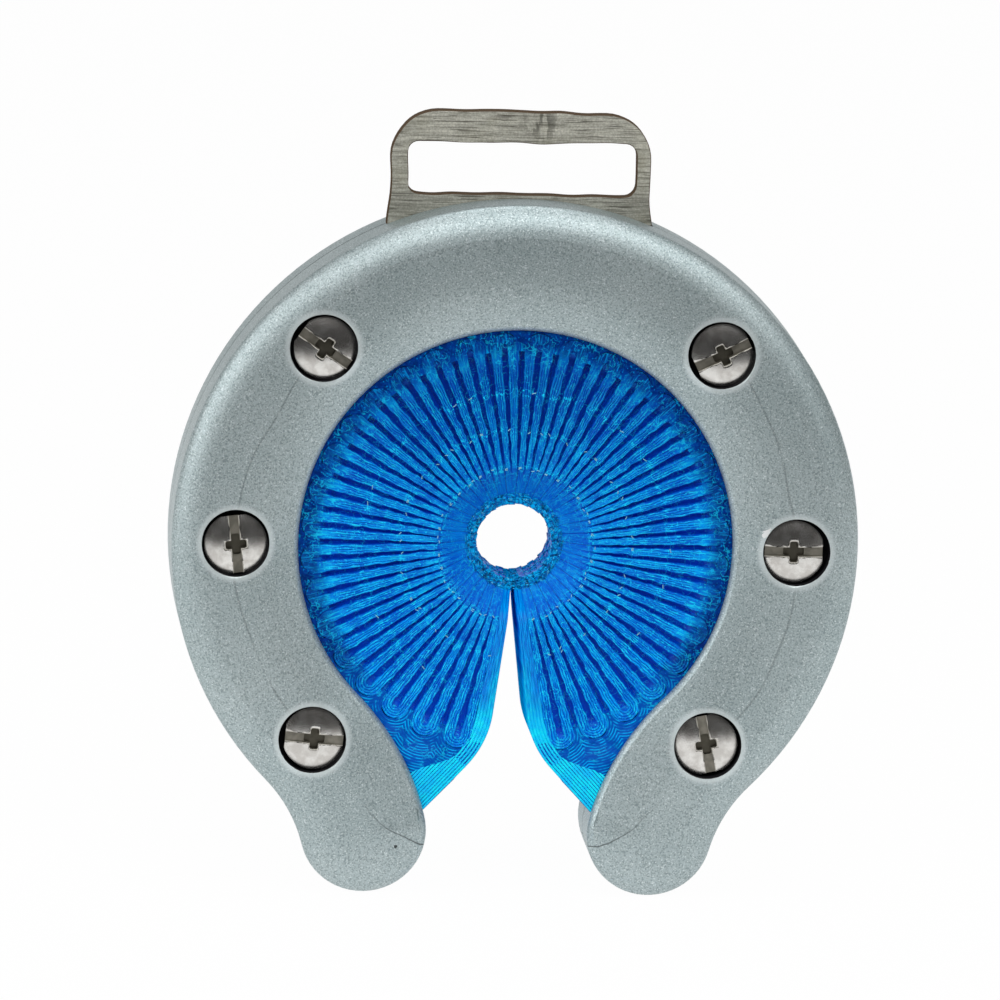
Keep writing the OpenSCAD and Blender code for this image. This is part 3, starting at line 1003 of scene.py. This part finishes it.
def lip_height(x, z):
    """Half thickness of the lip, with its strands as grooves along it."""
    place = Vector((x, 0, z))
    along = max(0, (place - slot_tip).dot(from_down(slot_angle, 1)))
    width = lip_tip_w + (lip_root_w - lip_tip_w) * min(1, along / lip_straight)
    inset = (place - slot_tip).dot(lip_normal(slot_angle))
    if along > lip_straight:
        middle = slot_tip + from_down(slot_angle, lip_straight) + lip_normal(slot_angle) * lip_bend_r
        inset = lip_bend_r - (place - middle).length
    groove = 1 - abs(math.sin(math.pi * 5 * min(1, max(0, inset / width)))) ** 0.8
    return petal_half_t(place.length) - strand_depth * min(1, 0.3 + along / lip_straight) * groove


lip_groove_shade = (0.0, 0.24, 0.78, 1)
glow_cyan = (0.0, 0.560, 0.990, 1)
glow_pale = (0.0, 0.820, 1.0, 1)
lip_print, tree, shader = new_material("clear blue print", Roughness=0.35)
at = axes(tree)
depth = math_node(tree, "ABSOLUTE", at["Y"])
place = round_place(tree)
inset = math_node(tree, "ADD", times(tree, math_node(tree, "ABSOLUTE", at["X"]), math.cos(slot_angle)),
                  times(tree, at["Z"], math.sin(slot_angle)))
inset = math_node(tree, "SUBTRACT", inset, slot_tip.dot(lip_normal(slot_angle)))
along_lip = in_plan(tree, math_node(tree, "DIVIDE", inset, 0.18 * mm),
                    math_node(tree, "DIVIDE", place["Radius"], 2.2 * mm))
streak = node(tree, "TexNoise", {"Vector": along_lip, "Scale": 1.0, "Detail": 3.0}).outputs["Fac"]
streak = ramp(tree, streak, 0.36, 0.64)
# The cyan at the slot edge, in the bend and in the corners is a painted glow of light through the thin print;
# elsewhere the lip keeps the bars' plain blue.
lip_glow = mixed(tree, spots(tree, 700, 3, 0.3, 0.7), glow_cyan, glow_pale)
# Painted shade in the grooves between strands.
depth_shade = ramp(tree, depth, insert_half_t - 0.05 * mm, insert_half_t - 0.2 * mm)
lip_glow = tinted(tree, depth_shade, 0.25, lip_glow, lip_groove_shade)
worn = mixed(tree, streak, bar_dark, bar_light)
edge = times(tree, ramp(tree, place["Radius"], 11 * mm, 27 * mm), ramp(tree, inset, 1.7 * mm, 0.3 * mm))
edge = times(tree, edge, ramp(tree, streak, -0.6, 0.9))
edge = math_node(tree, "MAXIMUM", edge, ramp(tree, place["Radius"], 21 * mm, 27 * mm))
colour = mixed(tree, edge, worn, lip_glow)
at_ring = ramp(tree, place["Radius"], ring_r + 0.5 * mm, ring_r - 0.2 * mm)
colour = mixed(tree, at_ring, colour, matted_colour(tree))
tree.links.new(colour, shader.inputs["Base Color"])
threads = times(tree, streak, ramp(tree, place["Radius"], 27 * mm, 22 * mm))
relief(tree, shader, threads, 0.7, 0.12 * mm)
wall = ramp(tree, depth, insert_half_t - 0.3 * mm, insert_half_t - 1.2 * mm)
shine_left = node(tree, "MapRange", {"Value": wall, "To Min": 0.2, "To Max": 0.0}).outputs["Result"]
tree.links.new(shine_left, shader.inputs["Specular IOR Level"])

lip = grid_sheet("lip_model", lip_steps, lip_rows, lip_point)
thicken(lip, lip_height)
lip.data.materials.append(lip_print)

for side in ("right", "left"):
    for i in range(1, petals_per_side + 1):
        part = "petal_%s_%02d" % (side, i)
        kind = (3 * i + (side == "left")) % petal_kinds + (petal_kinds if i >= first_matted else 0)
        petal = copied(part + "_print", model_petals[kind])
        turn = petal_turn(side, i)
        petal.data.transform(turn)
        if i == 1:
            side_lip = copied("lip", lip)
            if side == "left":
                flip(side_lip, (1, 0, 0))
            matting = ring_bits(random.Random(side))
            for bit in matting:
                bit.data.transform(petal_turn(side, 0))
            join_pieces(petal, [side_lip] + matting)
        shade_smooth(petal, 60)
        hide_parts(part)
        if i == petals_per_side:
            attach(petal, "root")
        else:
            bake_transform(petal)
for model in model_petals + [lip]:
    bpy.data.objects.remove(model)


# Insert band
# The fixed rim of the print, mostly under the shells. Its strands wrap round every petal's root,
# close the gaps between the roots, and run along the flare in the two corners.
band_half_t = 6.45 * mm
WEB_STATIONS = [(28.0 * mm, 0.43 * mm), (29.6 * mm, 0.9 * mm), (31.0 * mm, 1.9 * mm)]
strand_w = 0.42 * mm
gusset_start = 1.5 * mm
gusset_w = 12 * strand_w
gusset_steps = 60
gusset_rows = 60
gusset_end = 1.5 * mm
gusset_dip = 0.4 * mm

cad_band = bpy.data.objects["insert_band"]
band = copied("insert_band_print", cad_band)
band.data.transform(cad_band.matrix_world)
band.data.materials.clear()
edit_piece(band)
merge_points()
bpy.ops.mesh.bisect(plane_co=(0, 0, 0), plane_no=(1, 0, 0), clear_inner=True)
for share in (1 / 6, 3 / 6, 5 / 6):
    pick_all()
    bend_angle = slot_angle + (flare_angle - slot_angle) * share
    bpy.ops.mesh.bisect(plane_co=lip_place(lip_straight + lip_bend * share, 0.3 * mm),
                        plane_no=lip_normal(bend_angle), clear_inner=True, use_fill=True)
close_piece()
for v in band.data.vertices:
    v.co.y *= band_half_t / insert_half_t
apply_modifier(band, "MIRROR", merge_threshold=weld_gap)


def gusset_point(step, share):
    """Place in plan of a point of the corner, twelve strands wide."""
    length = (flare_corner - slot_corner).length - bend_reach + gusset_end
    place = lip_place(lip_straight + lip_bend + length * step / gusset_steps, gusset_w * share)
    return place.x, place.z


def gusset_height(x, z):
    """Half thickness of the corner, with grooves between its strands. It dips under the band at their end."""
    from_corner = Vector((x, 0, z)) - slot_corner
    inset = from_corner.dot(lip_normal(flare_angle))
    run = from_corner.dot(from_down(flare_angle, 1)) - bend_reach
    spread = smooth_share(run, gusset_start - 2 * mm, gusset_start + 5 * mm)
    width = lip_root_w + (gusset_w - lip_root_w) * spread
    if inset > width:
        return band_half_t - gusset_dip
    return insert_half_t - 0.6 * strand_depth * (1 - abs(math.sin(math.pi * inset / strand_w)) ** 0.5)


gusset = grid_sheet("gusset", gusset_steps, gusset_rows, gusset_point)
thicken(gusset, gusset_height)
gusset.data.materials.append(lip_print)
apply_modifier(gusset, "MIRROR", merge_threshold=0.0)


def web_point(step, share):
    """Place in plan of a point of a web, drawn along X."""
    along, half = WEB_STATIONS[step]
    return along, half * (2 * share - 1)


webs = []
for i in range(2, 2 * petals_per_side + 1):
    web = grid_sheet("web", 2, 2, web_point)
    thicken(web, lambda along, across: band_half_t + 0.02 * mm)
    web.data.transform(Matrix.Rotation(math.pi / 2 - petal_pitch * i, 4, "Y"))
    webs.append(web)

band_dark = (0.0, 0.085, 0.480, 1)
band_line = (0.0, 0.420, 0.920, 1)
band_print, tree, shader = new_material("wrapped blue print", Roughness=0.35, Specular_IOR_Level=0.05)
place = round_place(tree)
pitch_share = times(tree, place["Angle"], 1 / petal_pitch)
local = times(tree, math_node(tree, "SUBTRACT", math_node(tree, "FRACT", pitch_share), 0.5), petal_pitch)
side_way = times(tree, place["Radius"], math_node(tree, "SINE", local))
out_way = math_node(tree, "SUBTRACT", times(tree, place["Radius"], math_node(tree, "COSINE", local)), root_r)
away = distance_to(tree, in_plan(tree, side_way, out_way))
wobble = times(tree, place_noise(tree, 450, 2), 0.35 * mm)
wave = times(tree, math_node(tree, "ADD", away, wobble), 2 * math.pi / strand_w)
line = ramp(tree, math_node(tree, "SINE", wave), -0.4, 0.9)
patch = spots(tree, 900, 2, 0.35, 0.65)
colour = mixed(tree, times(tree, line, patch), band_dark, band_line)
loose = node(tree, "Group", node_tree=loose_threads).outputs
colour = tinted(tree, loose["Rim"], 0.9, colour, loose["Rim Colour"])
colour = mixed(tree, loose["Threads"], colour, bar_shine)
tree.links.new(colour, shader.inputs["Base Color"])
clear = math_node(tree, "SUBTRACT", 1.0, loose["Rim"])
relief(tree, shader, times(tree, line, clear), 0.6, 0.1 * mm)
for piece in [band] + webs:
    piece.data.materials.append(band_print)
join_pieces(band, webs + [gusset])
shade_smooth(band, 50)
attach(band, "root")
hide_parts("insert_band")


# Screws and barrel nuts
# Stainless screws with a low dome, a slot and a cross recess, each turned as it was left. Behind each one
# is a barrel nut with the same head.
head_r = 4.5 * mm
head_t = 2.2 * mm
head_face = 8.3 * mm
dome_h = 0.62 * mm
dome_rings = 7
flat_out = 4.15 * mm
drive_w = 1.3 * mm
drive_depth = 0.7 * mm
cross_l = 3.0 * mm
cross_round = 0.3 * mm
cross_w = 1.2 * mm
cross_depth = 1.2 * mm
worn_edge = 0.14 * mm
barrel_r = 2.8 * mm
thread_r = 2.0 * mm
screw_end = 5.5 * mm
barrel_end = 5.6 * mm
bore_end = 7 * mm
SLOT_TURNS = {"upper_left": -34, "upper_right": 26, "middle_left": 97, "middle_right": 0,
              "lower_left": -4, "lower_right": 102}
HEAD_SHIFTS = {"upper_left": (0.27, -0.14), "upper_right": (0.27, -0.1), "middle_left": (0.1, -0.3),
               "middle_right": (-0.33, -0.02), "lower_left": (0.33, 0.02), "lower_right": (-0.15, 0.02)}


def rod(name, radius, start, end):
    """A closed cylinder along Y between two places."""
    bpy.ops.mesh.primitive_cylinder_add(vertices=48, radius=radius, depth=1, rotation=(math.pi / 2, 0, 0))
    bpy.ops.object.transform_apply(location=False, rotation=True, scale=False)
    made = name_piece(name)
    for v in made.data.vertices:
        v.co.y = start if v.co.y < 0 else end
    return made


def drive_head(name):
    """The domed head with its drive, its face to the front. It is cut flat at both ends of the slot."""
    head = rod(name, head_r, -head_face + dome_h, -head_face + head_t)
    for steel in (screw_steel, drive_edge_highlight, drive_steel):
        head.data.materials.append(steel)
    edit_piece(head)
    pick("faces", lambda f: f.normal.y < -0.9)
    for ring in range(dome_rings):
        outer = 1 - ring / dome_rings
        inner = 1 - (ring + 1) / dome_rings if ring < dome_rings - 1 else 0.06
        rise = dome_h * (outer * outer - inner * inner)
        extrude(-rise)
        widen(inner / outer)
    close_piece()
    floor = -head_face + drive_depth
    cut_away(head, box_cutter("slot", (-head_r * 1.2, -head_face - 1 * mm, -drive_w / 2),
                              (head_r * 1.2, floor, drive_w / 2)))
    floor = -head_face + cross_depth
    for half_x, half_z in ((cross_l / 2, cross_w / 2), (cross_w / 2, cross_l / 2)):
        arms = box_cutter("cross", (-half_x, -head_face - 1 * mm, -half_z), (half_x, floor, half_z))
        round_upright_edges(arms, lambda co: True, cross_round, 3)
        cut_away(head, arms)
    edit_piece(head)
    merge_points()
    dome_y = lambda co: -head_face + dome_h * (co.x ** 2 + co.z ** 2) / head_r ** 2
    in_slot = lambda co: abs(co.z) < drive_w / 2 + 0.01 * mm
    in_drive = lambda co: in_slot(co) or max(abs(co.x), abs(co.z)) < cross_l / 2 + 0.01 * mm
    pick("edges", lambda e: e.calc_face_angle(0) > 0.9
         and all(abs(v.co.y - dome_y(v.co)) < 0.02 * mm and in_drive(v.co) for v in e.verts))
    # The bevelled edges take the painted highlight material.
    bpy.ops.mesh.bevel(offset=worn_edge, segments=2, affect="EDGES", material=1)
    for way in (-1, 1):
        pick_all()
        bpy.ops.mesh.bisect(plane_co=(way * flat_out, 0, 0), plane_no=(way, 0, 0), clear_outer=True,
                            use_fill=True)
    close_piece()
    # Faces inside the slot and cross take the darker drive steel: painted shade.
    for face in head.data.polygons:
        spot = face.center
        inside = math.hypot(spot.x, spot.z) < head_r - 0.1 * mm and abs(spot.x) < flat_out - 0.01 * mm
        sunk = dome_y(spot) + 0.1 * mm < spot.y < -head_face + head_t - 0.1 * mm
        if face.material_index == 0 and inside and sunk:
            face.material_index = 2
    return head


head_smeared = (0.58, 0.56, 0.53, 1)
head_clean = (0.76, 0.75, 0.72, 1)
drive_edge_highlight_grey = (0.56, 0.54, 0.48, 1)
drive_shade_dark = (0.19, 0.18, 0.15, 1)
drive_shade_light = (0.27, 0.255, 0.215, 1)
drive_shade_deepest = (0.06, 0.055, 0.04, 1)
screw_steel, tree, shader = new_material("stainless steel", Metallic=1.0, Roughness=0.23)
smear = spots(tree, 700, 3, 0.35, 0.7)
tree.links.new(mixed(tree, smear, head_smeared, head_clean), shader.inputs["Base Color"])
relief(tree, shader, place_noise(tree, 4000, 3), 0.06, 0.06 * mm)
# The rounded edges of the slot and cross get a pale, barely metallic grey: a painted highlight that outlines
# the drive.
drive_edge_highlight = new_material("painted highlight on drive edges", Metallic=0.2, Roughness=0.35, Base_Color=drive_edge_highlight_grey)[0]
# Steel in the slot and cross is much darker than the head, and darkest towards the bottom of the cross:
# painted shade in the recess, mottled by a noise.
drive_steel, tree, shader = new_material("steel in the drive", Metallic=0.9, Roughness=0.42)
depth = math_node(tree, "ABSOLUTE", axes(tree)["Y"])
sunk = ramp(tree, depth, head_face - drive_depth - 0.1 * mm, head_face - cross_depth + 0.1 * mm)
grime = spots(tree, 900, 2, 0.35, 0.65)
colour = mixed(tree, grime, drive_shade_dark, drive_shade_light)
colour = tinted(tree, sunk, 0.8, colour, drive_shade_deepest)
tree.links.new(colour, shader.inputs["Base Color"])

head_model = drive_head("head_model")
stem_start = -head_face + head_t - 0.1 * mm
for place in SCREW_PLACES:
    center = screw_center(place)
    shift_x, shift_z = HEAD_SHIFTS[place]
    for part in ("screw_", "nut_"):
        piece = copied(part + place + "_steel", head_model)
        if part == "screw_":
            piece.data.transform(Matrix.Rotation(-math.radians(SLOT_TURNS[place]), 4, "Y"))
            piece.data.transform(Matrix.Translation((shift_x * mm, 0, shift_z * mm)))
            join_pieces(piece, [rod("stem", thread_r, stem_start, screw_end)])
        else:
            barrel = rod("stem", barrel_r, stem_start, barrel_end)
            cut_away(barrel, rod("bore", thread_r + fit_gap, -head_face + head_t + 0.2 * mm, bore_end))
            join_pieces(piece, [barrel])
            flip(piece, (0, 1, 0))
        piece.data.transform(Matrix.Translation((center.x, 0, center.z)))
        shade_smooth(piece, 35)
        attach(piece, "root")
        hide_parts(part + place)
bpy.data.objects.remove(head_model)


# Floor, lights and camera
# A white floor under the lobes, a room that is dark in front and pale behind, four soft boxes, and the
# photograph's viewpoint.
camera_distance = 1500 * mm
camera_azimuth = math.radians(-4.96)
camera_elevation = math.radians(10.6)
camera_roll = math.radians(1.9)
picture_side = 142.76 * mm
aim = Vector((-1.87 * mm, 0, 5.26 * mm))
sensor = 36.0
floor_front = 0.24
floor_even = 0.13
floor_glow = 0.98
floor_grey = (0.9, 0.9, 0.9, 1)
backdrop_white = (1, 1, 1, 1)
room_front = (0.04, 0.04, 0.04, 1)
room_back = (0.7, 0.7, 0.7, 1)
room_top = (0.25, 0.25, 0.25, 1)

back = Vector((math.sin(camera_azimuth) * math.cos(camera_elevation),
               -math.cos(camera_azimuth) * math.cos(camera_elevation), math.sin(camera_elevation)))
bpy.ops.object.camera_add(location=aim + back * camera_distance)
camera = bpy.context.object
turned = (-back).to_track_quat("-Z", "Y").to_matrix() @ Matrix.Rotation(camera_roll, 3, "Z")
camera.rotation_euler = turned.to_euler()
camera.data.sensor_width = sensor
camera.data.lens = sensor * camera_distance / picture_side
camera.data.clip_start = 0.1
camera.data.clip_end = 20
bpy.context.scene.camera = camera

bpy.ops.mesh.primitive_plane_add(size=6, location=(0, 3 - floor_front, cad_low.z))
floor = bpy.context.object
floor.name = "floor"
bpy.ops.object.transform_apply(location=True, rotation=False, scale=False)
floor_white, tree, shader = new_material("white floor", Roughness=0.8, Specular_IOR_Level=0.0,
                                         Base_Color=floor_grey)
glow = node(tree, "Emission", {"Color": backdrop_white, "Strength": 1.0}).outputs[0]
path = node(tree, "LightPath").outputs
fading = node(tree, "MapRange", {"Value": axes(tree)["Y"], "From Min": -floor_front,
                                 "From Max": -floor_even}).outputs["Result"]
seen = math_node(tree, "MAXIMUM", path["Is Camera Ray"], times(tree, path["Is Glossy Ray"], fading))
seen = math_node(tree, "MAXIMUM", seen, path["Is Transmission Ray"])
share = times(tree, seen, floor_glow)
blend = node(tree, "MixShader", {0: share, 1: shader.outputs[0], 2: glow}).outputs[0]
tree.links.new(blend, tree.nodes["Material Output"].inputs["Surface"])
floor.data.materials.append(floor_white)

world = bpy.data.worlds.new("studio")
bpy.context.scene.world = world
world.use_nodes = True
tree = world.node_tree
toward = node(tree, "SeparateXYZ", {"Vector": node(tree, "TexCoord").outputs["Generated"]}).outputs
behind = ramp(tree, toward["Y"], -0.1, 0.35)
upward = ramp(tree, toward["Z"], 0.1, 0.9)
room = mixed(tree, behind, room_front, room_back)
room = mixed(tree, upward, room, room_top)
ambient = tree.nodes["Background"]
tree.links.new(room, ambient.inputs["Color"])
backdrop = node(tree, "Background", {"Color": backdrop_white, "Strength": 1.0}).outputs[0]
path = node(tree, "LightPath").outputs
seen = math_node(tree, "MAXIMUM", path["Is Camera Ray"], path["Is Transmission Ray"])
blend = node(tree, "MixShader", {0: seen, 1: ambient.outputs[0], 2: backdrop}).outputs[0]
tree.links.new(blend, tree.nodes["World Output"].inputs["Surface"])


def soft_light(name, place, target, width, height, power):
    """A soft box at a place, turned to a target."""
    bpy.ops.object.light_add(type="AREA", location=place)
    light = bpy.context.object
    light.name = name
    light.data.shape = "RECTANGLE"
    light.data.size = width
    light.data.size_y = height
    light.data.energy = power
    light.rotation_euler = (Vector(target) - Vector(place)).to_track_quat("-Z", "Y").to_euler()


soft_light("key box", (0.12, -0.65, 0.62), (0, 0, 0), 1.2, 0.4, 4.7)
soft_light("left front box", (-0.74, -0.47, 0.28), (0, 0, 0), 0.5, 0.6, 2.6)
soft_light("right front box", (0.7, -0.55, 0.26), (0, 0, 0), 0.5, 0.6, 0.6)
soft_light("floor box", (0, -0.1, 0.9), (0, -0.1, -0.05), 0.4, 0.4, 1.8)
bpy.context.scene.view_settings.view_transform = "Standard"
